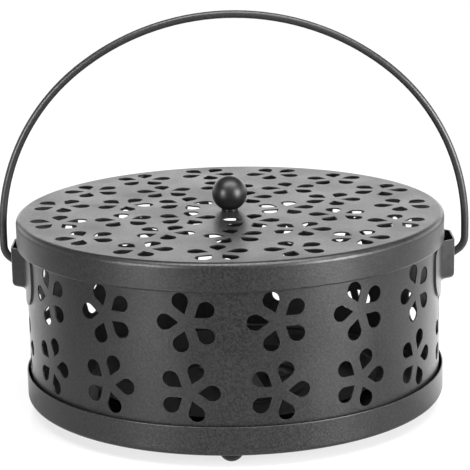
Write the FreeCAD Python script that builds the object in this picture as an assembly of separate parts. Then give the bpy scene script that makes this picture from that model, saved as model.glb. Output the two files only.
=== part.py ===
import FreeCAD, Part
import math
import os

from FreeCAD import Vector

# Holder for a mosquito coil: a round perforated box with a lift-off lid, three feet,
# a wire bail and a loose ash tray that carries the coil's spike.
# Sizes in millimetres, +Z up, +X through the right-hand ear, origin on the floor under the box's middle.

# Overall sizes
box_height = 66.8          # underside of the pan to the flat of the lid
wall_radius = 75.1
sheet = 0.5                # steel sheet of the lid, wall and pan
hem_depth = 3.6            # how far a raw edge is folded back
hem_slot = 0.2             # left open inside a fold
lid_side_play = 0.8        # the loose lid lies this far to the left
bail_side_play = 0.6       # the loose bail lies this far to the right
overrun = 1.0              # how far every cutting tool runs past what it cuts

# Feet
foot_height = 4.2
foot_dome_radius = 4.3
foot_inset = 8.2           # each foot's middle from the pan's edge
foot_count = 3
foot_turn = -91.5          # direction of the front foot, degrees from +X
foot_screw_radius = 1.2
foot_screw_depth = 2.6     # how far the screw goes into the foot
foot_head_radius = 2.3
foot_head_height = 1.3

# Pan
pan_rim = 10.3
pan_corner = 1.6           # outside radius where the floor turns up

# Wall
wall_gap = 0.9             # between the wall and the pan's rim
wall_foot = 3.0            # width of the foot turned in at the bottom of the wall
wall_bend = 0.9            # outside radius of that turn
seam_turn = 9.5            # direction of the lap seam, degrees from +X
seam_lap = 6.0
seam_margin = 19.0         # left out of the flowers' even spacing at the seam
seam_line = 0.25           # open joint seen from outside

# Lid
lid_skirt = 10.0
lid_play = 1.2             # round the wall, inside the lid's fold
lid_corner = 1.9           # outside radius where the top turns down
lid_seat_gap = 0.1         # between the lid and the top of the wall

# Five-petal flowers
petal_count = 5
petal_tip = 3.0            # from the flower's middle to the petal's point
petal_centre = 7.75        # to the middle of its round end
petal_radius = 2.85
wall_columns = 15
front_columns = 8          # columns on the front half, evenly placed about the front
wall_row_shares = (0.764, 0.245)    # height of each row, share of the bare wall
wall_row_turns = (36.0, 0.0)        # degrees, of one petal from the wall's run
wall_pattern_turn = 0.39   # degrees, the wall's flowers lie this far to the left of the front
lid_ring_shares = (0.258, 0.5194, 0.8135)   # radius of each ring, share of the lid's
lid_ring_counts = (5, 10, 15)
lid_ring_turns = (2.5, 19.8, 2.0)       # degrees, of the first flower from +X
lid_flower_turns = (3.4, 44.1, 39.0)    # degrees, of a petal from the ring's spoke

# Knob
knob_radius = 6.35
knob_neck_radius = 3.0
knob_neck = 0.5
knob_screw_radius = 1.5
knob_screw_depth = 6.0
knob_head_radius = 2.8
knob_head_height = 1.7
washer_radius = 4.0
washer_thickness = 0.6
screw_gap = 0.05           # round a screw in its hole
recess_width = 0.7         # cross recess in a screw's head
recess_depth = 0.8
recess_share = 0.62        # reach of the recess, share of the head's radius

# Ears
ear_sheet = 0.6
ear_gap = 0.05             # film of paint between the ear and the wall
ear_plate_width = 49.5
ear_plate_height = 19.2
plate_top_corner = 4.0
plate_low_corner = 9.5
ear_skirt_gap = 0.6        # between the plate's top and the lid's skirt
pocket_reach = 5.15        # outer face of the pocket beyond the wall
pocket_face = 14.0         # width of that face
pocket_root = 21.0         # width where the cheeks would meet the plate with no fillet
pocket_fillet = 1.5        # where the pocket rises from the plate
pocket_top_drop = 0.5      # pocket's open top below the plate's top
pocket_height = 14.6
pocket_bend = 1.9
pivot_drop = 6.5           # bail's axis below the pocket's open top
pivot_gap = 1.4            # round the wire in its hole, for the slanted end

# Bail
wire_radius = 1.4
bail_standoff = 3.8        # wire's centre line beyond the pocket's face
bail_bend = 6.0
bail_end_angle = 33.0      # slope of the ends, degrees
bail_end_depth = 2.6       # how far the end's middle goes past the pocket's face
bail_shoulder = 10.35      # start of the arch above the axis
bail_side_share = 0.8947   # radius of the arch's sides, share of half its width
bail_top_angle = 37.9      # half the angle of the flatter top arc, degrees

# Ash tray and coil stand
tray_sheet = 0.4
tray_floor_radius = 47.5
tray_rim_radius = 51.5
tray_height = 5.0
tray_lip = 1.2
bead_radius = 26.0         # ring pressed up in the tray's floor
bead_width = 2.6
bead_rise = 0.7
stand_sheet = 0.6
stand_arm_width = 7.0
stand_reach = 22.0
stand_foot = 5.5
stand_top_half = 6.0       # half the flat top, across the arms
stand_rise = 7.0
stand_bend = 1.2
stand_arms = 4
stand_turn = 30.0          # degrees
spike_radius = 1.3         # pin that the coil's centre sits on
spike_height = 9.0         # above the stand
spike_point_share = 0.45   # tapered part of the pin
spike_tip_radius = 0.3
spike_collar_radius = 2.4
spike_collar_height = 0.7
rivet_radius = 1.0
rivet_head_radius = 1.8
rivet_head_height = 0.8

# Levels and radii that follow from the sizes above
pan_bottom = foot_height
pan_floor = pan_bottom + sheet
pan_rim_top = pan_bottom + pan_rim
lid_top = pan_bottom + box_height
lid_underside = lid_top - sheet
skirt_bottom = lid_top - lid_skirt
bare_wall = skirt_bottom - pan_rim_top
pan_radius = wall_radius + wall_gap + sheet
foot_circle = pan_radius - foot_inset
lid_radius = wall_radius + lid_play + 2 * sheet + hem_slot
wall_pitch = (2 * math.pi * wall_radius - seam_margin) / wall_columns
wall_top = lid_underside - lid_seat_gap
ear_radius = wall_radius + ear_gap
plate_top = skirt_bottom - ear_skirt_gap
plate_middle = plate_top - ear_plate_height / 2
pocket_top = plate_top - pocket_top_drop
pocket_face_x = wall_radius + pocket_reach
pivot_height = pocket_top - pivot_drop
tray_floor = pan_floor + tray_sheet
full_turn = 360.0


def polar(radius, degrees, height=0.0):
    """Point at a distance and a direction from the Z axis."""
    turn = math.radians(degrees)
    return Vector(radius * math.cos(turn), radius * math.sin(turn), height)


def arc(centre, radius, start, end):
    """Arc edge in the XZ plane, angles in degrees from +X towards +Z."""
    points = []
    for angle in (start, (start + end) / 2, end):
        turn = math.radians(angle)
        points.append(centre + Vector(radius * math.cos(turn), 0, radius * math.sin(turn)))
    return Part.Arc(*points).toShape()


def line(start, end):
    """Straight edge between two points."""
    return Part.LineSegment(start, end).toShape()


def section(radius, height):
    """Point of a turned outline, in the XZ plane."""
    return Vector(radius, 0, height)


def turned(edges):
    """Solid of revolution about the Z axis, from the edges of a closed outline."""
    wire = Part.Wire(Part.__sortEdges__(edges))
    return Part.Face(wire).revolve(Vector(0, 0, 0), Vector(0, 0, 1), full_turn)


def joined_lines(points):
    """Straight edges through a list of points."""
    return [line(a, b) for a, b in zip(points, points[1:])]


def disc(radius, thickness, base, hole=0.0):
    """Round plate with its underside at base."""
    plate = Part.makeCylinder(radius, thickness, base)
    if hole:
        plate = plate.cut(Part.makeCylinder(hole, thickness + 2 * overrun, base - Vector(0, 0, overrun)))
    return plate


def bent_strip(points, bend, thickness):
    """Face of a bent strip in its own plane: a centre line rounded at each inner point."""
    normal = (points[1] - points[0]).cross(points[2] - points[1]).normalize()
    sides = []
    for hand in (1, -1):
        edges = []
        start = points[0] + normal.cross(points[1] - points[0]).normalize() * (hand * thickness / 2)
        for before, corner, after in zip(points, points[1:], points[2:]):
            come = (corner - before).normalize()
            leave = (after - corner).normalize()
            turn = come.getAngle(leave)
            bow = 1 if come.cross(leave).dot(normal) > 0 else -1
            setback = bend * math.tan(turn / 2)
            side_in = normal.cross(come)
            side_out = normal.cross(leave)
            middle = corner - come * setback + side_in * (bow * bend)
            radius = bend - bow * hand * thickness / 2
            first = middle - side_in * (bow * radius)
            last = middle - side_out * (bow * radius)
            halfway = middle - (side_in + side_out).normalize() * (bow * radius)
            edges.append(line(start, first))
            edges.append(Part.Arc(first, halfway, last).toShape())
            start = last
        tail = normal.cross(points[-1] - points[-2]).normalize() * (hand * thickness / 2)
        edges.append(line(start, points[-1] + tail))
        sides.append(edges)
    ends = [line(sides[0][0].Vertexes[0].Point, sides[1][0].Vertexes[0].Point),
            line(sides[0][-1].Vertexes[-1].Point, sides[1][-1].Vertexes[-1].Point)]
    return Part.Face(Part.Wire(Part.__sortEdges__(sides[0] + sides[1] + ends)))


# Flowers

def petal_outline():
    """Closed teardrop wire about the origin, its point towards the flower's middle."""
    lean = math.asin(petal_radius / (petal_centre - petal_tip))
    across = petal_radius * math.cos(lean)
    along = petal_centre - petal_radius * math.sin(lean)
    point = Vector(petal_tip, 0, 0)
    upper = Vector(along, across, 0)
    lower = Vector(along, -across, 0)
    crown = Vector(petal_centre + petal_radius, 0, 0)
    return Part.Wire([line(point, lower), Part.Arc(lower, crown, upper).toShape(), line(upper, point)])


def flower_cutter(turn, length):
    """Five petal-shaped prisms that rise along +Z."""
    petals = []
    for number in range(petal_count):
        petal = Part.Face(petal_outline()).extrude(Vector(0, 0, length))
        petal.rotate(Vector(0, 0, 0), Vector(0, 0, 1), turn + number * full_turn / petal_count)
        petals.append(petal)
    return petals


def lid_flowers():
    """Petal cutters for the three rings of flowers in the lid's top."""
    cutters = []
    length = sheet + 2 * overrun
    rings = zip(lid_ring_shares, lid_ring_counts, lid_ring_turns, lid_flower_turns)
    for share, count, start, turn in rings:
        for number in range(count):
            direction = start + number * full_turn / count
            for petal in flower_cutter(direction + turn, length):
                petal.translate(polar(share * lid_radius, direction, lid_underside - overrun))
                cutters.append(petal)
    return cutters


def petal_sagitta():
    """How far the wall curves back from a flower's middle to its petals' ends."""
    reach = petal_centre + petal_radius
    return wall_radius - math.sqrt(wall_radius ** 2 - reach ** 2)


def wall_flowers():
    """Petal cutters for the rows of flowers round the wall."""
    cutters = []
    pitch = math.degrees(wall_pitch / wall_radius)
    first = -90 + (front_columns - 1) / 2 * pitch - wall_pattern_turn
    start = wall_radius - sheet - overrun - petal_sagitta()
    length = wall_radius + overrun - start
    for share, turn in zip(wall_row_shares, wall_row_turns):
        height = pan_rim_top + share * bare_wall
        for column in range(wall_columns):
            direction = first - column * pitch
            for petal in flower_cutter(turn, length):
                petal.rotate(Vector(0, 0, 0), Vector(1, 0, 0), 90)
                petal.rotate(Vector(0, 0, 0), Vector(0, 0, 1), direction + 90)
                petal.translate(polar(start, direction, height))
                cutters.append(petal)
    return cutters


# Box

def base_pan():
    """Drawn pan with a rounded corner and an upright rim, drilled for the feet."""
    corner = section(pan_radius - pan_corner, pan_bottom + pan_corner)
    outside = [line(section(0, pan_bottom), section(pan_radius - pan_corner, pan_bottom)),
               arc(corner, pan_corner, -90, 0),
               line(section(pan_radius, pan_bottom + pan_corner), section(pan_radius, pan_rim_top))]
    inner_radius = pan_radius - sheet
    inside = [line(section(pan_radius, pan_rim_top), section(inner_radius, pan_rim_top)),
              line(section(inner_radius, pan_rim_top), section(inner_radius, pan_bottom + pan_corner)),
              arc(corner, pan_corner - sheet, 0, -90),
              line(section(pan_radius - pan_corner, pan_floor), section(0, pan_floor)),
              line(section(0, pan_floor), section(0, pan_bottom))]
    pan = turned(outside + inside)
    holes = []
    for place in foot_places():
        start = place - Vector(0, 0, overrun)
        holes.append(Part.makeCylinder(foot_screw_radius + screw_gap, sheet + 2 * overrun, start))
    return pan.cut(holes)


def wall_band():
    """Rolled wall: turned-in foot, folded top edge, lap seam and two rows of flowers."""
    inner_radius = wall_radius - sheet
    bend_middle = section(wall_radius - wall_bend, pan_floor + wall_bend)
    foot_radius = wall_radius - wall_foot
    foot_top = pan_floor + sheet
    fold_inner = inner_radius - hem_slot - sheet
    fold_height = wall_top - (wall_radius - fold_inner) / 2
    fold_middle = section((wall_radius + fold_inner) / 2, fold_height)
    hem_end = fold_height - hem_depth
    edges = [line(section(foot_radius, pan_floor), section(wall_radius - wall_bend, pan_floor)),
             arc(bend_middle, wall_bend, -90, 0),
             line(section(wall_radius, pan_floor + wall_bend), section(wall_radius, fold_height)),
             arc(fold_middle, (wall_radius - fold_inner) / 2, 0, 180),
             line(section(fold_inner, fold_height), section(fold_inner, hem_end)),
             line(section(fold_inner, hem_end), section(fold_inner + sheet, hem_end)),
             line(section(fold_inner + sheet, hem_end), section(fold_inner + sheet, fold_height)),
             arc(fold_middle, hem_slot / 2, 180, 0),
             line(section(inner_radius, fold_height), section(inner_radius, pan_floor + wall_bend)),
             arc(bend_middle, wall_bend - sheet, 0, -90),
             line(section(wall_radius - wall_bend, foot_top), section(foot_radius, foot_top)),
             line(section(foot_radius, foot_top), section(foot_radius, pan_floor))]
    return turned(edges).fuse(seam_strip(hem_end)).cut(wall_flowers() + [seam_groove(hem_end)])


def seam_band(inner, outer, width, low, high):
    """Upright piece of a ring at the seam, width measured along the wall."""
    angle = math.degrees(width / wall_radius)
    ring = Part.makeCylinder(outer, high - low, section(0, low), Vector(0, 0, 1), angle)
    ring = ring.cut(Part.makeCylinder(inner, high - low, section(0, low), Vector(0, 0, 1)))
    ring.rotate(Vector(0, 0, 0), Vector(0, 0, 1), seam_turn - angle / 2)
    return ring


def seam_strip(hem_end):
    """Inner layer of the lap, just clear of the folded top edge."""
    inner = wall_radius - 2 * sheet
    return seam_band(inner, wall_radius - sheet, seam_lap, pan_floor + wall_bend, hem_end - hem_slot)


def seam_groove(hem_end):
    """Open joint where the outer layer ends, within the height of the inner layer."""
    low = pan_floor + wall_bend + sheet
    return seam_band(wall_radius - sheet, wall_radius + overrun, seam_line, low, hem_end - sheet)


def lid_cap():
    """Drawn lid with a folded lower edge, punched with three rings of flowers."""
    corner = section(lid_radius - lid_corner, lid_top - lid_corner)
    inner_radius = lid_radius - sheet
    fold_inner = inner_radius - hem_slot - sheet
    fold_height = skirt_bottom + (lid_radius - fold_inner) / 2
    fold_middle = section((lid_radius + fold_inner) / 2, fold_height)
    hem_end = fold_height + hem_depth
    edges = [line(section(0, lid_top), section(lid_radius - lid_corner, lid_top)),
             arc(corner, lid_corner, 90, 0),
             line(section(lid_radius, lid_top - lid_corner), section(lid_radius, fold_height)),
             arc(fold_middle, (lid_radius - fold_inner) / 2, 0, -180),
             line(section(fold_inner, fold_height), section(fold_inner, hem_end)),
             line(section(fold_inner, hem_end), section(fold_inner + sheet, hem_end)),
             line(section(fold_inner + sheet, hem_end), section(fold_inner + sheet, fold_height)),
             arc(fold_middle, hem_slot / 2, -180, 0),
             line(section(inner_radius, fold_height), section(inner_radius, lid_top - lid_corner)),
             arc(corner, lid_corner - sheet, 0, 90),
             line(section(lid_radius - lid_corner, lid_underside), section(0, lid_underside)),
             line(section(0, lid_underside), section(0, lid_top))]
    screw_hole = Part.makeCylinder(knob_screw_radius + screw_gap, sheet + 2 * overrun,
                                   section(0, lid_underside - overrun))
    return turned(edges).cut(lid_flowers() + [screw_hole])


# Screws, knob and feet

def recessed_screw(head_radius, head_height, shank_radius, shank_length, head_top):
    """Round-headed screw with its head up, its shank going down from under the head."""
    seat = head_top - head_height
    rise = (head_radius ** 2 - head_height ** 2) / (2 * head_height)
    crown = section(0, head_top)
    rim = section(head_radius, seat)
    sphere_middle = section(0, seat - rise)
    lean = math.degrees(math.atan2(rise, head_radius))
    edges = [arc(sphere_middle, head_height + rise, 90, lean),
             line(rim, section(shank_radius, seat)),
             line(section(shank_radius, seat), section(shank_radius, seat - shank_length)),
             line(section(shank_radius, seat - shank_length), section(0, seat - shank_length)),
             line(section(0, seat - shank_length), crown)]
    screw = turned(edges)
    reach = recess_share * head_radius
    for long_side, short_side in ((reach, recess_width / 2), (recess_width / 2, reach)):
        slot = Part.makeBox(2 * long_side, 2 * short_side, recess_depth + overrun,
                            Vector(-long_side, -short_side, head_top - recess_depth))
        screw = screw.cut(slot)
    return screw


def foot_places():
    """Middle of each foot's top, on the underside of the pan."""
    return [polar(foot_circle, foot_turn + number * full_turn / foot_count, pan_bottom)
            for number in range(foot_count)]


def foot(place):
    """Domed foot with a small flat to stand on, bored for its screw."""
    flat_radius = math.sqrt(foot_dome_radius ** 2 - foot_height ** 2)
    lean = math.degrees(math.acos(flat_radius / foot_dome_radius))
    edges = [line(section(0, 0), section(foot_dome_radius, 0)),
             arc(section(0, 0), foot_dome_radius, 0, -lean),
             line(section(flat_radius, -foot_height), section(0, -foot_height)),
             line(section(0, -foot_height), section(0, 0))]
    dome = turned(edges)
    bore_depth = foot_screw_depth + screw_gap
    dome = dome.cut(Part.makeCylinder(foot_screw_radius + screw_gap, bore_depth, section(0, -bore_depth)))
    dome.translate(place)
    return dome


def foot_screws():
    """One screw for each foot, its head on the pan's floor."""
    screws = []
    for place in foot_places():
        screw = recessed_screw(foot_head_radius, foot_head_height, foot_screw_radius,
                               sheet + foot_screw_depth, foot_head_height)
        screw.translate(place + Vector(0, 0, sheet))
        screws.append(screw)
    return Part.makeCompound(screws)


def lid_knob():
    """Ball with a short neck on the lid, bored for its screw."""
    middle_height = lid_top + knob_neck + math.sqrt(knob_radius ** 2 - knob_neck_radius ** 2)
    lean = math.degrees(math.acos(knob_neck_radius / knob_radius))
    edges = [line(section(0, lid_top), section(knob_neck_radius, lid_top)),
             line(section(knob_neck_radius, lid_top), section(knob_neck_radius, lid_top + knob_neck)),
             arc(section(0, middle_height), knob_radius, -lean, 90),
             line(section(0, middle_height + knob_radius), section(0, lid_top))]
    bore = Part.makeCylinder(knob_screw_radius + screw_gap, knob_screw_depth + screw_gap + overrun,
                             section(0, lid_top - overrun))
    return turned(edges).cut(bore)


def knob_washer():
    """Flat washer between the lid and the screw's head."""
    return disc(washer_radius, washer_thickness, section(0, lid_underside - washer_thickness),
                knob_screw_radius + screw_gap)


def knob_screw():
    """Screw from under the lid, its head down."""
    seat = lid_underside - washer_thickness
    screw = recessed_screw(knob_head_radius, knob_head_height, knob_screw_radius,
                           washer_thickness + sheet + knob_screw_depth, knob_head_height)
    screw.rotate(Vector(0, 0, 0), Vector(1, 0, 0), 180)
    screw.translate(section(0, seat))
    return screw


# Ears and bail

def plate_outline():
    """Ear plate's upright outline in the YZ plane, about its middle: round below, squarer on top."""
    side = ear_plate_width / 2
    rise = ear_plate_height / 2
    edges = []
    for z_hand, corner in ((1, plate_top_corner), (-1, plate_low_corner)):
        across = side - corner
        up = rise - corner
        for y_hand in (1, -1):
            points = []
            for angle in (0, 45, 90):
                turn = math.radians(angle)
                points.append(Vector(0, y_hand * (across + corner * math.cos(turn)),
                                     z_hand * (up + corner * math.sin(turn))))
            edges.append(Part.Arc(*points).toShape())
        edges.append(line(Vector(0, -across, z_hand * rise), Vector(0, across, z_hand * rise)))
    for y_hand in (1, -1):
        edges.append(line(Vector(0, y_hand * side, plate_low_corner - rise),
                          Vector(0, y_hand * side, rise - plate_top_corner)))
    return Part.Wire(Part.__sortEdges__(edges))


def pocket_block(shrink):
    """Solid of the pocket's outer shape, or of its hollow when drawn in by shrink."""
    root_x = math.sqrt((ear_radius + ear_sheet) ** 2 - (pocket_root / 2) ** 2)
    slope = math.atan2(pocket_face_x - root_x, (pocket_root - pocket_face) / 2)
    face_x = pocket_face_x - shrink
    face_half = pocket_face / 2 - shrink * math.tan(slope / 2)
    inner_x = wall_radius - sheet - overrun
    root_half = face_half + (face_x - inner_x) / math.tan(slope)
    bottom = pocket_top - pocket_height + shrink
    top = pocket_top + (overrun if shrink else 0)
    outline = [Vector(inner_x, -root_half, bottom), Vector(face_x, -face_half, bottom),
               Vector(face_x, face_half, bottom), Vector(inner_x, root_half, bottom)]
    face = Part.Face(Part.Wire(joined_lines(outline + outline[:1])))
    block = face.extrude(Vector(0, 0, top - bottom))
    rounded = []
    for edge in block.Edges:
        middle = edge.CenterOfMass
        upright = abs(middle.z - (top + bottom) / 2) < overrun / 2
        low = abs(middle.z - bottom) < overrun / 2
        if middle.x > inner_x + overrun and (upright or low):
            rounded.append(edge)
    return block.makeFillet(pocket_bend - shrink, rounded)


def pocket_roots(body):
    """Edges where the pocket rises from the plate, apart from its open top."""
    roots = []
    for edge in body.Edges:
        middle = edge.valueAt((edge.FirstParameter + edge.LastParameter) / 2)
        on_plate = abs(math.hypot(middle.x, middle.y) - ear_radius - ear_sheet) < ear_gap
        near = abs(middle.y) < pocket_root / 2 + ear_sheet
        if on_plate and near and pocket_top - pocket_height - ear_sheet < middle.z < pocket_top - ear_sheet:
            roots.append(edge)
    return roots


def ear():
    """Right-hand ear: a plate curved to the wall, with a pocket open at the top."""
    outer = ear_radius + ear_sheet
    shell = Part.makeCylinder(outer, ear_plate_height, section(0, plate_top - ear_plate_height))
    blank = Part.Face(plate_outline()).extrude(Vector(outer + overrun, 0, 0))
    blank.translate(section(0, plate_middle))
    body = shell.common(blank).fuse(pocket_block(0)).removeSplitter()
    body = body.makeFillet(pocket_fillet, pocket_roots(body)).cut(pocket_block(ear_sheet))
    bore = Part.makeCylinder(ear_radius, ear_plate_height + 2 * overrun,
                             section(0, plate_top - ear_plate_height - overrun))
    hole = Part.makeCylinder(wire_radius + pivot_gap, pocket_reach,
                             section(ear_radius + ear_sheet, pivot_height), Vector(1, 0, 0))
    return body.cut([bore, hole]).removeSplitter()


def mirrored(shape):
    """The same piece on the left-hand side."""
    return shape.mirror(Vector(0, 0, 0), Vector(1, 0, 0))


def bail_handle():
    """Round wire bent to a flattened arch, its ends sloping down into the ears."""
    half_width = pocket_face_x + bail_standoff
    shoulder = pivot_height + bail_shoulder
    side_radius = bail_side_share * half_width
    slope = math.radians(bail_end_angle)
    cross_x = pocket_face_x - ear_sheet / 2
    corner = section(half_width, pivot_height + (half_width - cross_x) * math.tan(slope))
    end_x = pocket_face_x - bail_end_depth
    end = section(end_x, pivot_height - (cross_x - end_x) * math.tan(slope))
    turn = 90 - bail_end_angle
    setback = bail_bend * math.tan(math.radians(turn) / 2)
    bend_start = corner - (corner - end).normalize() * setback
    bend_middle = section(half_width - bail_bend, corner.z + setback)
    side_middle = section(half_width - side_radius, shoulder)
    top_radius = side_radius + side_middle.x / math.sin(math.radians(bail_top_angle))
    drop = (top_radius - side_radius) * math.cos(math.radians(bail_top_angle))
    top_middle = section(0, shoulder - drop)
    meet = 90 - bail_top_angle
    right = [line(end, bend_start),
             arc(bend_middle, bail_bend, -turn, 0),
             line(section(half_width, bend_middle.z), section(half_width, shoulder)),
             arc(side_middle, side_radius, 0, meet)]
    crown = [arc(top_middle, top_radius, meet, 180 - meet)]
    left = [mirrored(edge) for edge in right]
    path = Part.Wire(Part.__sortEdges__(right + crown + left))
    profile = Part.Wire([Part.makeCircle(wire_radius, end, bend_start - end)])
    return path.makePipeShell([profile], True, False)


# Inside

def ash_tray():
    """Shallow dish with a sloping side, a flat lip and a ring pressed up in its floor."""
    rim = pan_floor + tray_height
    slope = math.atan2(tray_height, tray_rim_radius - tray_floor_radius)
    offset = tray_sheet * math.tan(slope / 2)
    bead_outer = bead_radius + bead_width / 2
    bead_inner = bead_radius - bead_width / 2
    lower = [section(0, pan_floor), section(bead_inner, pan_floor),
             section(bead_radius, pan_floor + bead_rise), section(bead_outer, pan_floor),
             section(tray_floor_radius + offset, pan_floor),
             section(tray_rim_radius + offset, rim - tray_sheet),
             section(tray_rim_radius + tray_lip, rim - tray_sheet)]
    upper = [section(tray_rim_radius + tray_lip, rim), section(tray_rim_radius, rim),
             section(tray_floor_radius, tray_floor), section(bead_outer, tray_floor),
             section(bead_radius, tray_floor + bead_rise), section(bead_inner, tray_floor),
             section(0, tray_floor), section(0, pan_floor)]
    dish = turned(joined_lines(lower + upper))
    holes = []
    for place in rivet_places():
        start = place - Vector(0, 0, tray_sheet + overrun)
        holes.append(Part.makeCylinder(rivet_radius + screw_gap, tray_sheet + 2 * overrun, start))
    return dish.cut(holes)


def stand_directions():
    """Direction of each arm of the stand, degrees."""
    return [stand_turn + number * full_turn / stand_arms for number in range(stand_arms)]


def rivet_places():
    """Middle of each arm's foot, on the tray's floor."""
    return [polar(stand_reach - stand_foot / 2, direction, tray_floor) for direction in stand_directions()]


def coil_stand():
    """Cross of bent sheet with flat feet, drilled for its rivets and its pin."""
    low = tray_floor + stand_sheet / 2
    high = tray_floor + stand_rise - stand_sheet / 2
    slope_out = stand_reach - stand_foot
    cross = None
    for direction in stand_directions()[:stand_arms // 2]:
        points = [section(-stand_reach, low), section(-slope_out, low), section(-stand_top_half, high),
                  section(stand_top_half, high), section(slope_out, low), section(stand_reach, low)]
        strip = bent_strip(points, stand_bend, stand_sheet)
        strip.translate(Vector(0, -stand_arm_width / 2, 0))
        bridge = strip.extrude(Vector(0, stand_arm_width, 0))
        bridge.rotate(Vector(0, 0, 0), Vector(0, 0, 1), direction)
        cross = bridge if cross is None else cross.fuse(bridge)
    length = stand_sheet + 2 * overrun
    centre = section(0, tray_floor + stand_rise - stand_sheet)
    holes = [Part.makeCylinder(rivet_radius + screw_gap, length, place - Vector(0, 0, overrun))
             for place in rivet_places() + [centre]]
    return cross.cut(holes).removeSplitter()


def coil_spike():
    """Pointed pin riveted through the middle of the stand."""
    top = tray_floor + stand_rise
    under = top - stand_sheet
    collar_top = top + spike_collar_height
    shoulder = top + spike_height * (1 - spike_point_share)
    outline = [section(0, under - rivet_head_height), section(rivet_head_radius, under - rivet_head_height),
               section(rivet_head_radius, under), section(rivet_radius, under), section(rivet_radius, top),
               section(spike_collar_radius, top), section(spike_collar_radius, collar_top),
               section(spike_radius, collar_top), section(spike_radius, shoulder),
               section(spike_tip_radius, top + spike_height), section(0, top + spike_height),
               section(0, under - rivet_head_height)]
    return turned(joined_lines(outline))


def stand_rivets():
    """One rivet through each foot of the stand, flush under the tray."""
    rivets = []
    for place in rivet_places():
        shank = disc(rivet_radius, tray_sheet + stand_sheet, place - Vector(0, 0, tray_sheet))
        head = disc(rivet_head_radius, rivet_head_height, place + Vector(0, 0, stand_sheet))
        halfway = place.z + stand_sheet + rivet_head_height / 2
        rim = [edge for edge in head.Edges if edge.Closed and edge.CenterOfMass.z > halfway]
        rivets.append(shank.fuse(head.makeFillet(rivet_head_height / 2, rim)))
    return Part.makeCompound(rivets)


def build():
    """Every piece by the name of its node."""
    lid_shift = Vector(-lid_side_play, 0, 0)
    bail_shift = Vector(bail_side_play, 0, 0)
    right_ear = ear()
    pieces = {
        "base_pan": base_pan(),
        "wall_band": wall_band(),
        "ear_right": right_ear,
        "ear_left": mirrored(right_ear),
        "foot_screws": foot_screws(),
        "ash_tray": ash_tray(),
        "coil_stand": coil_stand(),
        "coil_spike": coil_spike(),
        "stand_rivets": stand_rivets(),
    }
    for name, place in zip(("foot_front", "foot_right", "foot_left"), foot_places()):
        pieces[name] = foot(place)
    for name, shape in (("lid_cap", lid_cap()), ("lid_knob", lid_knob()),
                        ("knob_washer", knob_washer()), ("knob_screw", knob_screw())):
        shape.translate(lid_shift)
        pieces[name] = shape
    bail = bail_handle()
    bail.translate(bail_shift)
    pieces["bail_handle"] = bail
    return pieces


os.makedirs("parts", exist_ok=True)
for node, solid in build().items():
    solid.exportStep("parts/" + node + ".step")
    box = solid.BoundBox
    print(node, "solids", len(solid.Solids), "valid", solid.isValid(), "volume", round(solid.Volume, 1),
          "x", round(box.XMin, 2), round(box.XMax, 2), "y", round(box.YMin, 2), round(box.YMax, 2),
          "z", round(box.ZMin, 2), round(box.ZMax, 2))
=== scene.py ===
import math

import bmesh
import bpy
from mathutils import Matrix, Vector


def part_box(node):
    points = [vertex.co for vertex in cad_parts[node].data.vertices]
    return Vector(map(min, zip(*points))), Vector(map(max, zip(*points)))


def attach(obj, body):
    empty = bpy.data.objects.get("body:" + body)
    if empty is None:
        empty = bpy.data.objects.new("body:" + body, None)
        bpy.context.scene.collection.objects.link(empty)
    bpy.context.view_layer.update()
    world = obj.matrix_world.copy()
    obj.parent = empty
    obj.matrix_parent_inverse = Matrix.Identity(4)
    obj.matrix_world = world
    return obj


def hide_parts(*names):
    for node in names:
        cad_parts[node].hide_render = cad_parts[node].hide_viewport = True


# Looks of a perforated mosquito coil holder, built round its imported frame, in metres.

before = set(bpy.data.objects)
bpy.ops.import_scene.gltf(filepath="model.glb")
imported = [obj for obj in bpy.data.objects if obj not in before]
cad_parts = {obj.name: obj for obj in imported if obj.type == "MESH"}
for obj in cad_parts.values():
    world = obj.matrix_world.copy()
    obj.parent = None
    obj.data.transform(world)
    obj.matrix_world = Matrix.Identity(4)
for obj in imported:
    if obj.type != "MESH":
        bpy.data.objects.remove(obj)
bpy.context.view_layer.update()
MM = 0.001

# Sizes read from the frame
lid_low, lid_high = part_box("lid_cap")
wall_low, wall_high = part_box("wall_band")
pan_low, pan_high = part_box("base_pan")
lid_radius = (lid_high.y - lid_low.y) / 2
wall_radius = (wall_high.y - wall_low.y) / 2
pan_radius = (pan_high.y - pan_low.y) / 2
lid_axis = Vector((((lid_low + lid_high) / 2).x, 0, 0))
box_axis = Vector((0, 0, 0))

# Sheet metal
SHEET = 0.5 * MM
HEM_DEPTH = 3.6 * MM
HEM_SLOT = 0.2 * MM        # gap inside a folded edge
FOLD_RADIUS = (SHEET * 2 + HEM_SLOT) / 2
LID_CORNER = 1.9 * MM
PAN_CORNER = 1.6 * MM
WALL_FOOT = 3.0 * MM       # width of the wall's foot, turned in over the pan
WALL_BEND = 0.9 * MM
TURN_STEPS = 360
ARC_STEPS = 8
HOLD = 0.06 * MM           # how far inside its ends a long flat gets a point of its own
HOLD_LEAST = 10 * HOLD     # shortest flat that is held
ON_AXIS = 1e-7             # radius below which a point lies on the axis
CREASE = math.radians(30.0)

# Lap seam in the wall
SEAM_TURN = math.radians(9.5)
SEAM_LAP = 6.0 * MM        # width of the second layer inside
SEAM_LINE = 0.25 * MM      # width of the line outside, where the sheet ends
SEAM_STEPS = 6
SEAM_BITE = 0.1 * MM       # how far the second layer runs into the wall, to join with it

# Five-petal flowers
PETAL_COUNT = 5
PETAL_TIP = 3.0 * MM
PETAL_CENTRE = 7.75 * MM
PETAL_RADIUS = 2.85 * MM
PETAL_STEPS = 28
WALL_PITCH = 30.191 * MM
WALL_COLUMNS = 15
FRONT_COLUMNS = 8          # columns centred on the front
WALL_PATTERN_TURN = math.radians(0.39)   # the columns lie this far to the left of the front
# Wall rows: height over the pan's underside, turn in degrees
WALL_ROWS = ((45.826 * MM, 36.0), (21.693 * MM, 0.0))
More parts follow.
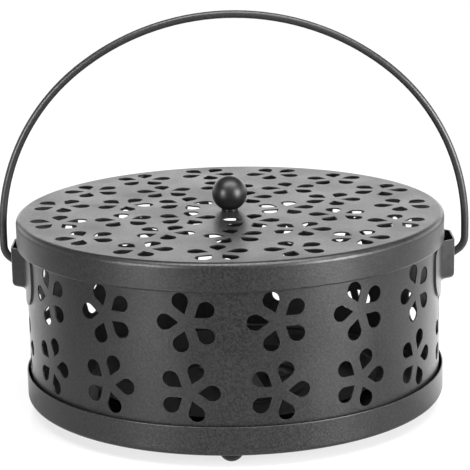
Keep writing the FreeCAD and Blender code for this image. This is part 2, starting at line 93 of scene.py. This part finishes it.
# Lid rings: radius, flowers, first flower and turn in degrees
LID_RINGS = ((20.0 * MM, 5, 2.5, 3.4), (40.25 * MM, 10, 19.8, 44.1), (63.05 * MM, 15, 2.0, 39.0))
CUT_REACH = 1.6 * MM       # how far a punch reaches to each side of the sheet's middle

# Camera, fitted to the outlines of the lid, wall and pan
CAMERA_PLACE = Vector((-0.45, -671.48, 227.11)) * MM
CAMERA_PITCH = 0.242
CAMERA_YAW = 0.0020
CAMERA_ROLL = -0.0196
CAMERA_LENS = 145.35
CAMERA_SENSOR = 36.0
CAMERA_NEAR = 0.01
CAMERA_FAR = 50.0

# Studio world: heights of a direction between which the white cove darkens, and its light
COVE_START = 0.26
COVE_END = 0.43
COVE_DARK = 0.04
WORLD_FILL = 0.32                  # plain light on the object
WORLD_SHINE = (1.00, 0.60, 1.40)   # in a polished surface: level, more to the right, more to the back

# Floor, distances in metres from its middle
FLOOR_SIDES = 96
FLOOR_RADIUS = 8.0
FLOOR_GRAIN = 3.0
FLOOR_TONES = (0.86, 0.9)
FLOOR_ROUGH = 0.22
FLOOR_IOR = 1.5
# Painted reflection: though it is no lamp, the floor glows for polished surfaces only, brighter near
# and behind the object.
FLOOR_PAINTED_GLOW = (0.36, 0.16, 1.00)   # painted glow of the floor, seen only in a polished surface: level, more to the right, more to the back
FLOOR_PAINTED_GLOW_LEAST = 0.14
FLOOR_PAINTED_GLOW_SHARE = 0.85           # part of what a polished surface sees that is painted glow, not lit floor
FLOOR_NEAR, FLOOR_FAR = 0.08, 0.41   # where the painted glow falls from its first to its second strength
FLOOR_PAINTED_GLOW_FALL = (3.2, 0.22)
FLOOR_BACK_NEAR, FLOOR_BACK_FAR = 0.8, 1.6   # where the painted glow behind the object rises
FLOOR_PAINTED_BACK_GLOW = 2.0
FLOOR_WHITE_NEAR, FLOOR_WHITE_FAR = 0.25, 1.2   # where the floor fades to plain white
FLOOR_WHITE = (0.72, 1.0)

# Lamps: name, azimuth and elevation in degrees, distance, width and height in metres, power in watts
LAMPS = (("top", 12, 76, 1.2, 1.5, 0.6, 28.0),
         ("key", 35, 50, 1.2, 1.0, 0.45, 4.0),
         ("strip_left", -44, 8, 1.1, 0.3, 0.7, 14.0),
         ("strip_right", 54, 8, 1.1, 0.5, 0.7, 25.0))
LAMP_AIM = Vector((0, 0, 0.06))

# Finishes: scales of the noises, and what they change
PAINT_CLOUDS, PAINT_FLOW, PAINT_SPECKS, PAINT_PEEL = 60.0, 900.0, 1500.0, 2400.0
SPECK_SHARE = 0.8                  # of the paint's colour, the rest is clouds
PEEL_SHARE = 0.6                   # of the paint's bumps, the rest is flow
PAINT_DEPTH = 0.3 * MM
PAINT_IOR = 1.5
ZINC_CLOUDS = 300.0
ZINC_DULL, ZINC_BLUE = 0.7, 1.02   # darkest cloud against the plate's shade, blue against red
ZINC_VARIES = 0.08
BLACK_CLOUDS, BLACK_GRAIN = 180.0, 900.0
BLACK_TONES = (0.004, 0.008)
BLACK_BUMP = 0.02
BLACK_DEPTH = 0.2 * MM
BLACK_VARIES = 0.03
BLACK_IOR = 1.45


# Node trees

class Tree:
    """Short way to write a node tree: nodes are made with their inputs and settings in one call."""

    def __init__(self, tree):
        self.tree = tree

    def add(self, kind, inputs=None, **settings):
        """New node. An input is a plain value or another node's output socket."""
        node = self.tree.nodes.new(kind)
        for key, value in settings.items():
            setattr(node, key, value)
        for key, value in (inputs or {}).items():
            values = value if isinstance(value, list) else [value]
            for item in values:
                if isinstance(item, bpy.types.NodeSocket):
                    self.tree.links.new(item, node.inputs[key])
                else:
                    node.inputs[key].default_value = item
        return node

    def math(self, operation, *values):
        """Math node's output."""
        return self.add("ShaderNodeMath", dict(enumerate(values)), operation=operation).outputs[0]


# Materials

def new_material(name):
    """Material with an empty tree, and its Tree."""
    material = bpy.data.materials.new(name)
    material.use_nodes = True
    material.node_tree.nodes.clear()
    return material, Tree(material.node_tree)


def noise(tree, place, scale, detail):
    """Noise factor on Object coordinates."""
    node = tree.add("ShaderNodeTexNoise", {"Vector": place, "Scale": scale, "Detail": detail})
    return node.outputs["Fac"]


def spread(tree, value, low, high, start=0.3, end=0.7):
    """Value stretched from start..end to low..high."""
    return tree.add("ShaderNodeMapRange", {0: value, 1: start, 2: end, 3: low, 4: high}).outputs[0]


def blend(tree, share, first, second):
    """A share of the first value and the rest of the second."""
    return tree.math("MULTIPLY_ADD", first, share, tree.math("MULTIPLY", second, 1.0 - share))


def tones(tree, value, dark, light):
    """Colour that goes from dark to light with the value."""
    ramp = tree.add("ShaderNodeValToRGB", {"Fac": value})
    ramp.color_ramp.elements[0].color = (*dark, 1)
    ramp.color_ramp.elements[1].color = (*light, 1)
    return ramp.outputs["Color"]


def surface(tree, settings):
    """Principled shader with its settings as the material's surface."""
    shader = tree.add("ShaderNodeBsdfPrincipled", settings)
    tree.add("ShaderNodeOutputMaterial", {"Surface": shader.outputs[0]})


def satin_paint(name, dark, light, rough, grain=0.2, polish=0.5):
    """Satin stoved paint: fine orange peel, fine specks, faint clouds in colour and gloss."""
    material, tree = new_material(name)
    place = tree.add("ShaderNodeTexCoord").outputs["Object"]
    clouds = noise(tree, place, PAINT_CLOUDS, 3.0)
    peel = noise(tree, place, PAINT_PEEL, 2.0)
    flow = noise(tree, place, PAINT_FLOW, 2.0)
    specks = spread(tree, noise(tree, place, PAINT_SPECKS, 2.0), 0.0, 1.0, 0.35, 0.65)
    height = blend(tree, PEEL_SHARE, peel, flow)
    bump = tree.add("ShaderNodeBump", {"Strength": grain, "Distance": PAINT_DEPTH, "Height": height})
    surface(tree, {
        "Base Color": tones(tree, blend(tree, SPECK_SHARE, specks, clouds), (dark,) * 3, (light,) * 3),
        "Specular IOR Level": polish, "IOR": PAINT_IOR,
        "Roughness": spread(tree, blend(tree, 0.5, clouds, peel), *rough),
        "Normal": bump.outputs["Normal"]})
    return material


def zinc_plate(name, shade, rough):
    """Dull bright-plated steel with faint clouds."""
    material, tree = new_material(name)
    place = tree.add("ShaderNodeTexCoord").outputs["Object"]
    clouds = noise(tree, place, ZINC_CLOUDS, 4.0)
    surface(tree, {
        "Base Color": tones(tree, clouds, (shade * ZINC_DULL,) * 3, (shade, shade, shade * ZINC_BLUE)),
        "Metallic": 1.0,
        "Roughness": spread(tree, clouds, rough - ZINC_VARIES, rough + ZINC_VARIES)})
    return material


def gloss_black(name, rough):
    """Moulded black plastic with a polish that varies a little."""
    material, tree = new_material(name)
    place = tree.add("ShaderNodeTexCoord").outputs["Object"]
    clouds = noise(tree, place, BLACK_CLOUDS, 3.0)
    dark, light = BLACK_TONES
    bump = tree.add("ShaderNodeBump", {"Strength": BLACK_BUMP, "Distance": BLACK_DEPTH,
                                       "Height": noise(tree, place, BLACK_GRAIN, 2.0)})
    surface(tree, {
        "Base Color": tones(tree, clouds, (dark,) * 3, (light,) * 3), "IOR": BLACK_IOR,
        "Roughness": spread(tree, clouds, rough - BLACK_VARIES, rough + BLACK_VARIES),
        "Normal": bump.outputs["Normal"]})
    return material


# Meshes

def arc(centre, radius, start, end):
    """Points of an arc in a turned outline, angles in degrees from outward towards up."""
    points = []
    for number in range(ARC_STEPS + 1):
        angle = math.radians(start + (end - start) * number / ARC_STEPS)
        points.append((centre[0] + radius * math.cos(angle), centre[1] + radius * math.sin(angle)))
    return points


def held(outline):
    """The outline with a point just inside both ends of each long side, so that flats stay flat."""
    points = []
    for start, end in zip(outline, outline[1:] + outline[:1]):
        points.append(start)
        length = math.hypot(end[0] - start[0], end[1] - start[1])
        if length > HOLD_LEAST:
            for share in (HOLD / length, 1 - HOLD / length):
                points.append((start[0] + (end[0] - start[0]) * share,
                               start[1] + (end[1] - start[1]) * share))
    return points


def revolve(name, outline, axis):
    """Closed mesh turned from a closed outline of (radius, height) points about an upright axis."""
    mesh = bmesh.new()
    rings = []
    for radius, height in held(outline):
        if radius < ON_AXIS:
            rings.append([mesh.verts.new(axis + Vector((0, 0, height)))] * TURN_STEPS)
            continue
        ring = []
        for number in range(TURN_STEPS):
            turn = 2 * math.pi * number / TURN_STEPS
            place = Vector((radius * math.cos(turn), radius * math.sin(turn), height))
            ring.append(mesh.verts.new(axis + place))
        rings.append(ring)
    for first, second in zip(rings, rings[1:] + rings[:1]):
        for number in range(TURN_STEPS):
            following = (number + 1) % TURN_STEPS
            corners = list(dict.fromkeys((first[number], first[following],
                                          second[following], second[number])))
            if len(corners) > 2:
                mesh.faces.new(corners)
    bmesh.ops.recalc_face_normals(mesh, faces=mesh.faces)
    return add_object(name, mesh)


def add_object(name, mesh):
    """Object from a bmesh, at the origin."""
    data = bpy.data.meshes.new(name)
    mesh.to_mesh(data)
    mesh.free()
    thing = bpy.data.objects.new(name, data)
    bpy.context.scene.collection.objects.link(thing)
    return thing


def smooth(thing):
    """Smooth shading with creases kept sharp."""
    thing.data.polygons.foreach_set("use_smooth", [True] * len(thing.data.polygons))
    thing.data.set_sharp_from_angle(angle=CREASE)


def baked(thing):
    """The same object with its modifiers' result as a plain mesh."""
    depsgraph = bpy.context.evaluated_depsgraph_get()
    result = bpy.data.meshes.new_from_object(thing.evaluated_get(depsgraph), depsgraph=depsgraph)
    thing.modifiers.clear()
    old = thing.data
    thing.data = result
    bpy.data.meshes.remove(old)
    return thing


def dress(thing, material):
    """One material on the whole object."""
    thing.data.materials.clear()
    thing.data.materials.append(material)


def finished(thing, material, body, slot, *nodes):
    """A piece in its material, riding on its body in place of its nodes."""
    dress(thing, material)
    smooth(thing)
    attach(thing, body)
    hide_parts(*nodes)


# Punched flowers

def flower_tree():
    """Geometry nodes that punch one ring of five-petal flowers through a sheet."""
    group = bpy.data.node_groups.new("punched_flowers", "GeometryNodeTree")
    face = group.interface
    face.new_socket("Geometry", in_out="INPUT", socket_type="NodeSocketGeometry")
    kinds = {"Flowers": "NodeSocketInt", "Axis": "NodeSocketVector", "Material": "NodeSocketMaterial"}
    for name in ("Flowers", "Ring radius", "Height", "First", "Step", "Turn", "Tilt", "Facing", "Axis",
                 "Petal tip", "Petal centre", "Petal radius", "Reach", "Material"):
        face.new_socket(name, in_out="INPUT", socket_type=kinds.get(name, "NodeSocketFloat"))
    face.new_socket("Geometry", in_out="OUTPUT", socket_type="NodeSocketGeometry")
    tree = Tree(group)
    given = tree.add("NodeGroupInput").outputs

    def vector(x=0.0, y=0.0, z=0.0):
        return tree.add("ShaderNodeCombineXYZ", {0: x, 1: y, 2: z}).outputs[0]

    def rotation(**angles):
        return tree.add("FunctionNodeEulerToRotation", {0: vector(**angles)}).outputs[0]

    # One petal is the hull of its round end and its point, above and below the sheet
    ends = []
    for reach in (given["Reach"], tree.math("MULTIPLY", given["Reach"], -1.0)):
        circle = tree.add("GeometryNodeMeshCircle", {"Vertices": PETAL_STEPS,
                                                     "Radius": given["Petal radius"]})
        end = tree.add("GeometryNodeTransform", {"Geometry": circle.outputs[0],
                                                 "Translation": vector(given["Petal centre"], z=reach)})
        tip = tree.add("GeometryNodeMeshLine", {"Count": 1,
                                                "Start Location": vector(given["Petal tip"], z=reach)})
        ends += [end.outputs[0], tip.outputs[0]]
    joined = tree.add("GeometryNodeJoinGeometry", {"Geometry": ends[::-1]})
    petal = tree.add("GeometryNodeConvexHull", {"Geometry": joined.outputs[0]}).outputs[0]

    def round_points(count, first, step, radius, height):
        """Points on a circle, and the angle of each."""
        index = tree.add("GeometryNodeInputIndex").outputs[0]
        angle = tree.math("ADD", first, tree.math("MULTIPLY", index, step))
        x = tree.math("MULTIPLY", tree.math("COSINE", angle), radius)
        y = tree.math("MULTIPLY", tree.math("SINE", angle), radius)
        points = tree.add("GeometryNodePoints", {"Count": count})
        placed = tree.add("GeometryNodeSetPosition", {"Geometry": points.outputs[0],
                                                      "Position": vector(x, y, height)})
        return placed.outputs[0], angle

    centres, angle = round_points(PETAL_COUNT, 0.0, 2 * math.pi / PETAL_COUNT, 0.0, 0.0)
    petals = tree.add("GeometryNodeInstanceOnPoints", {"Points": centres, "Instance": petal,
                                                       "Rotation": rotation(z=angle)})
    flower = tree.add("GeometryNodeRealizeInstances", {"Geometry": petals.outputs[0]}).outputs[0]

    # A flower turns in its own plane, tips up, faces outward, then goes round the axis
    places, angle = round_points(given["Flowers"], given["First"], given["Step"], given["Ring radius"],
                                 given["Height"])
    tipped = tree.add("FunctionNodeRotateRotation", {"Rotation": rotation(z=given["Turn"]),
                                                     "Rotate By": rotation(x=given["Tilt"])})
    round_axis = tree.add("FunctionNodeRotateRotation", {
        "Rotation": tipped.outputs[0],
        "Rotate By": rotation(z=tree.math("ADD", angle, given["Facing"]))})
    flowers = tree.add("GeometryNodeInstanceOnPoints", {"Points": places, "Instance": flower,
                                                        "Rotation": round_axis.outputs[0]})
    cutters = tree.add("GeometryNodeRealizeInstances", {"Geometry": flowers.outputs[0]})
    moved = tree.add("GeometryNodeTransform", {"Geometry": cutters.outputs[0],
                                               "Translation": given["Axis"]})
    punched = tree.add("GeometryNodeMeshBoolean", {0: given["Geometry"], 1: moved.outputs[0]},
                       operation="DIFFERENCE", solver="EXACT")
    coloured = tree.add("GeometryNodeSetMaterial", {"Geometry": punched.outputs[0],
                                                    "Material": given["Material"]})
    tree.add("NodeGroupOutput", {"Geometry": coloured.outputs[0]})
    return group


def punch(thing, group, material, **values):
    """Adds one ring of flowers to an object as a modifier."""
    modifier = thing.modifiers.new("flowers", "NODES")
    modifier.node_group = group
    settings = {"Petal tip": PETAL_TIP, "Petal centre": PETAL_CENTRE, "Petal radius": PETAL_RADIUS,
                "Reach": CUT_REACH, "Material": material}
    settings.update({key.replace("_", " "): value for key, value in values.items()})
    for item in group.interface.items_tree:
        if item.in_out == "INPUT" and item.name in settings:
            modifier[item.identifier] = settings[item.name]


# Pieces

def lid_outline():
    """Turned outline of the lid: flat top, rounded corner, skirt with a folded edge."""
    top, low = lid_high.z, lid_low.z
    radius = lid_radius
    fold = (radius - FOLD_RADIUS, low + FOLD_RADIUS)
    corner = (radius - LID_CORNER, top - LID_CORNER)
    inner_fold = radius - 2 * FOLD_RADIUS
    hem_end = fold[1] + HEM_DEPTH
    return ([(0, top)] + arc(corner, LID_CORNER, 90, 0) + arc(fold, FOLD_RADIUS, 0, -180)
            + [(inner_fold, hem_end), (inner_fold + SHEET, hem_end)] + arc(fold, HEM_SLOT / 2, -180, 0)
            + arc(corner, LID_CORNER - SHEET, 0, 90) + [(0, top - SHEET)])


def wall_outline():
    """Turned outline of the wall: foot turned in, folded top edge."""
    top, low = wall_high.z, wall_low.z
    radius = wall_radius
    fold = (radius - FOLD_RADIUS, top - FOLD_RADIUS)
    bend = (radius - WALL_BEND, low + WALL_BEND)
    inner_fold = radius - 2 * FOLD_RADIUS
    hem_end = fold[1] - HEM_DEPTH
    return ([(radius - WALL_FOOT, low)] + arc(bend, WALL_BEND, -90, 0) + arc(fold, FOLD_RADIUS, 0, 180)
            + [(inner_fold, hem_end), (inner_fold + SHEET, hem_end)] + arc(fold, HEM_SLOT / 2, 180, 0)
            + arc(bend, WALL_BEND - SHEET, 0, -90) + [(radius - WALL_FOOT, low + SHEET)])


def pan_outline():
    """Turned outline of the pan: flat floor, rounded corner, upright rim with a soft edge."""
    top, low = pan_high.z, pan_low.z
    corner = (pan_radius - PAN_CORNER, low + PAN_CORNER)
    rim = (pan_radius - SHEET / 2, top - SHEET / 2)
    return ([(0, low)] + arc(corner, PAN_CORNER, -90, 0) + arc(rim, SHEET / 2, 0, 180)
            + arc(corner, PAN_CORNER - SHEET, 0, -90) + [(0, low + SHEET)])


def make_lid(group, material):
    """Lid with its three rings of flowers."""
    lid = revolve("lid_shell", lid_outline(), lid_axis)
    for radius, count, first, turn in LID_RINGS:
        punch(lid, group, material, Flowers=count, Ring_radius=radius, Height=lid_high.z - SHEET / 2,
              First=math.radians(first), Step=2 * math.pi / count, Turn=math.radians(turn), Tilt=0.0,
              Facing=0.0, Axis=lid_axis)
    finished(baked(lid), material, "lid", "box_paint", "lid_cap")


def seam_piece(name, inner, outer, width, low, high):
    """Closed upright piece of a ring at the wall's seam, width measured along the wall."""
    mesh = bmesh.new()
    half = width / wall_radius / 2
    layers = []
    section = ((inner, low), (outer, low), (outer, high), (inner, high))
    for number in range(SEAM_STEPS + 1):
        turn = SEAM_TURN + half * (2 * number / SEAM_STEPS - 1)
        layers.append([mesh.verts.new((radius * math.cos(turn), radius * math.sin(turn), height))
                       for radius, height in section])
    for first, second in zip(layers, layers[1:]):
        for number in range(len(first)):
            following = (number + 1) % len(first)
            mesh.faces.new((first[number], first[following], second[following], second[number]))
    mesh.faces.new(layers[0])
    mesh.faces.new(layers[-1][::-1])
    bmesh.ops.recalc_face_normals(mesh, faces=mesh.faces)
    return add_object(name, mesh)


def combined(thing, tool, operation):
    """The object joined with or cut by a tool, which is then removed."""
    modifier = thing.modifiers.new(operation, "BOOLEAN")
    modifier.operation = operation
    modifier.solver = "EXACT"
    modifier.object = tool
    baked(thing)
    bpy.data.objects.remove(tool)


def make_wall(group, material):
    """Wall with its lap seam and its two rows of flowers."""
    wall = revolve("wall_shell", wall_outline(), box_axis)
    inner_face = wall_radius - SHEET
    foot = wall_low.z + WALL_BEND
    hem_end = wall_high.z - SHEET - HEM_SLOT / 2 - HEM_DEPTH
    strip = seam_piece("seam_strip", inner_face - SHEET, inner_face + SEAM_BITE, SEAM_LAP,
                       foot, hem_end - HEM_SLOT)
    combined(wall, strip, "UNION")
    groove = seam_piece("seam_groove", inner_face, wall_radius + SHEET, SEAM_LINE,
                        foot + SHEET, hem_end - SHEET)
    combined(wall, groove, "DIFFERENCE")
    pitch = WALL_PITCH / wall_radius
    first = -math.pi / 2 + (FRONT_COLUMNS - 1) / 2 * pitch - WALL_PATTERN_TURN
    for height, turn in WALL_ROWS:
        punch(wall, group, material, Flowers=WALL_COLUMNS, Ring_radius=inner_face,
              Height=pan_low.z + height, First=first, Step=-pitch, Turn=math.radians(turn),
              Tilt=math.pi / 2, Facing=math.pi / 2, Axis=box_axis)
    finished(baked(wall), material, "box", "box_paint", "wall_band")


def make_pan(material):
    """Pan under the wall."""
    finished(revolve("pan_shell", pan_outline(), box_axis), material, "box", "box_paint", "base_pan")


# Stage

def make_camera():
    """Camera at the photograph's place and angle."""
    forward = Vector((math.sin(CAMERA_YAW) * math.cos(CAMERA_PITCH),
                      math.cos(CAMERA_YAW) * math.cos(CAMERA_PITCH), -math.sin(CAMERA_PITCH)))
    level = Vector((math.cos(CAMERA_YAW), -math.sin(CAMERA_YAW), 0))
    upright = level.cross(forward)
    right = level * math.cos(CAMERA_ROLL) + upright * math.sin(CAMERA_ROLL)
    up = upright * math.cos(CAMERA_ROLL) - level * math.sin(CAMERA_ROLL)
    data = bpy.data.cameras.new("camera")
    data.lens = CAMERA_LENS
    data.sensor_width = CAMERA_SENSOR
    data.clip_start = CAMERA_NEAR
    data.clip_end = CAMERA_FAR
    camera = bpy.data.objects.new("camera", data)
    turned = Matrix((right, up, -forward)).transposed().to_4x4()
    camera.matrix_world = Matrix.Translation(CAMERA_PLACE) @ turned
    bpy.context.scene.collection.objects.link(camera)
    bpy.context.scene.camera = camera


def make_lamp(name, azimuth, elevation, distance, width, height, power):
    """Soft area lamp that faces the object. Azimuth 0 is at the camera's side, 90 at +X."""
    turn, rise = math.radians(azimuth), math.radians(elevation)
    outward = Vector((math.sin(turn) * math.cos(rise), -math.cos(turn) * math.cos(rise),
                      math.sin(rise)))
    place = LAMP_AIM + distance * outward
    data = bpy.data.lights.new(name, "AREA")
    data.shape = "RECTANGLE"
    data.size = width
    data.size_y = height
    data.energy = power
    lamp = bpy.data.objects.new(name, data)
    lamp.location = place
    lamp.rotation_euler = (LAMP_AIM - place).to_track_quat("-Z", "Y").to_euler()
    bpy.context.scene.collection.objects.link(lamp)


def leaning(tree, direction, level, right, back):
    """Brightness that grows towards the right and towards the back."""
    parts = tree.add("ShaderNodeSeparateXYZ", {0: direction}).outputs
    return tree.math("ADD", tree.math("MULTIPLY_ADD", parts["X"], right, level),
                     tree.math("MULTIPLY", parts["Y"], back))


def make_world():
    """White round the horizon and dark overhead, as in a white cove."""
    world = bpy.data.worlds.new("studio")
    bpy.context.scene.world = world
    world.use_nodes = True
    world.node_tree.nodes.clear()
    tree = Tree(world.node_tree)
    direction = tree.add("ShaderNodeTexCoord").outputs["Generated"]
    rise = tree.add("ShaderNodeSeparateXYZ", {0: direction}).outputs["Z"]
    cove = tree.add("ShaderNodeValToRGB", {"Fac": rise})
    cove.color_ramp.interpolation = "EASE"
    cove.color_ramp.elements[0].position = COVE_START
    cove.color_ramp.elements[0].color = (1, 1, 1, 1)
    cove.color_ramp.elements[1].position = COVE_END
    cove.color_ramp.elements[1].color = (COVE_DARK, COVE_DARK, COVE_DARK, 1)
    ray = tree.add("ShaderNodeLightPath").outputs
    shine = leaning(tree, direction, *WORLD_SHINE)
    light = tree.math("MULTIPLY_ADD", ray["Is Glossy Ray"],
                      tree.math("SUBTRACT", shine, WORLD_FILL), WORLD_FILL)
    plain = tree.math("MAXIMUM", ray["Is Camera Ray"], ray["Is Transmission Ray"])
    strength = tree.math("MAXIMUM", light, plain)
    sky = tree.add("ShaderNodeBackground", {"Color": cove.outputs["Color"], "Strength": strength})
    tree.add("ShaderNodeOutputWorld", {"Surface": sky.outputs[0]})


def make_floor():
    """Plain pale table that keeps a soft shadow and fades to white far off, with a painted glow that
    only polished surfaces see, brighter near and behind the object.
    """
    mesh = bmesh.new()
    bmesh.ops.create_circle(mesh, cap_ends=True, segments=FLOOR_SIDES, radius=FLOOR_RADIUS)
    floor = add_object("floor", mesh)
    material, tree = new_material("pale_floor")
    place = tree.add("ShaderNodeTexCoord").outputs["Object"]
    distance = tree.add("ShaderNodeVectorMath", {0: place}, operation="LENGTH").outputs["Value"]
    outward = tree.add("ShaderNodeVectorMath", {0: place}, operation="NORMALIZE").outputs[0]
    ray = tree.add("ShaderNodeLightPath").outputs
    table = tree.add("ShaderNodeBsdfPrincipled", {
        "Base Color": spread(tree, noise(tree, place, FLOOR_GRAIN, 4.0), *FLOOR_TONES),
        "Roughness": FLOOR_ROUGH, "IOR": FLOOR_IOR})

    # Painted glow, a painted reflection: what a polished surface sees, stronger near and behind the
    # object, and 1 for every other ray
    around = tree.math("MAXIMUM", leaning(tree, outward, *FLOOR_PAINTED_GLOW), FLOOR_PAINTED_GLOW_LEAST)
    around = tree.math("MULTIPLY", around, spread(tree, distance, *FLOOR_PAINTED_GLOW_FALL, FLOOR_NEAR, FLOOR_FAR))
    back = tree.math("MAXIMUM", tree.add("ShaderNodeSeparateXYZ", {0: outward}).outputs["Y"], 0.0)
    rise = spread(tree, distance, 0.0, FLOOR_PAINTED_BACK_GLOW, FLOOR_BACK_NEAR, FLOOR_BACK_FAR)
    shine = tree.math("MULTIPLY_ADD", back, rise, around)
    painted_glow = tree.math("MULTIPLY_ADD", ray["Is Glossy Ray"], tree.math("SUBTRACT", shine, 1.0), 1.0)
    painted_glow_shader = tree.add("ShaderNodeEmission", {"Color": (1, 1, 1, 1), "Strength": painted_glow})

    plain = tree.math("MAXIMUM", ray["Is Camera Ray"], ray["Is Transmission Ray"])
    white = spread(tree, distance, *FLOOR_WHITE, FLOOR_WHITE_NEAR, FLOOR_WHITE_FAR)
    share = tree.math("MULTIPLY_ADD", plain, white,
                      tree.math("MULTIPLY", ray["Is Glossy Ray"], FLOOR_PAINTED_GLOW_SHARE))
    mixed = tree.add("ShaderNodeMixShader", {0: share, 1: table.outputs[0], 2: painted_glow_shader.outputs[0]})
    tree.add("ShaderNodeOutputMaterial", {"Surface": mixed.outputs[0]})
    dress(floor, material)


box_paint = satin_paint("box_paint", 0.003, 0.019, (0.27, 0.43), 0.28)
bail_paint = satin_paint("bail_paint", 0.012, 0.018, (0.30, 0.40))
tray_paint = satin_paint("tray_paint", 0.005, 0.007, (0.5, 0.6), polish=0.12)
screw_steel = zinc_plate("screw_steel", 0.55, 0.35)
# The stand's plated steel is darkened to near black, as dark as the shade inside the box: painted
# shade.
stand_steel = zinc_plate("stand_steel", 0.07, 0.55)
knob_black = gloss_black("knob_black", 0.38)
foot_black = gloss_black("foot_black", 0.3)

flowers = flower_tree()
make_lid(flowers, box_paint)
make_wall(flowers, box_paint)
make_pan(box_paint)

kept = {"ear_right": box_paint, "ear_left": box_paint, "bail_handle": bail_paint,
        "lid_knob": knob_black,
        "foot_front": foot_black, "foot_right": foot_black, "foot_left": foot_black,
        "foot_screws": screw_steel, "knob_washer": screw_steel, "knob_screw": screw_steel,
        "ash_tray": tray_paint, "coil_stand": stand_steel, "coil_spike": stand_steel,
        "stand_rivets": stand_steel}
for node, material in kept.items():
    dress(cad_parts[node], material)

make_camera()
make_world()
make_floor()
for lamp in LAMPS:
    make_lamp(*lamp)
bpy.context.scene.view_settings.view_transform = "Standard"
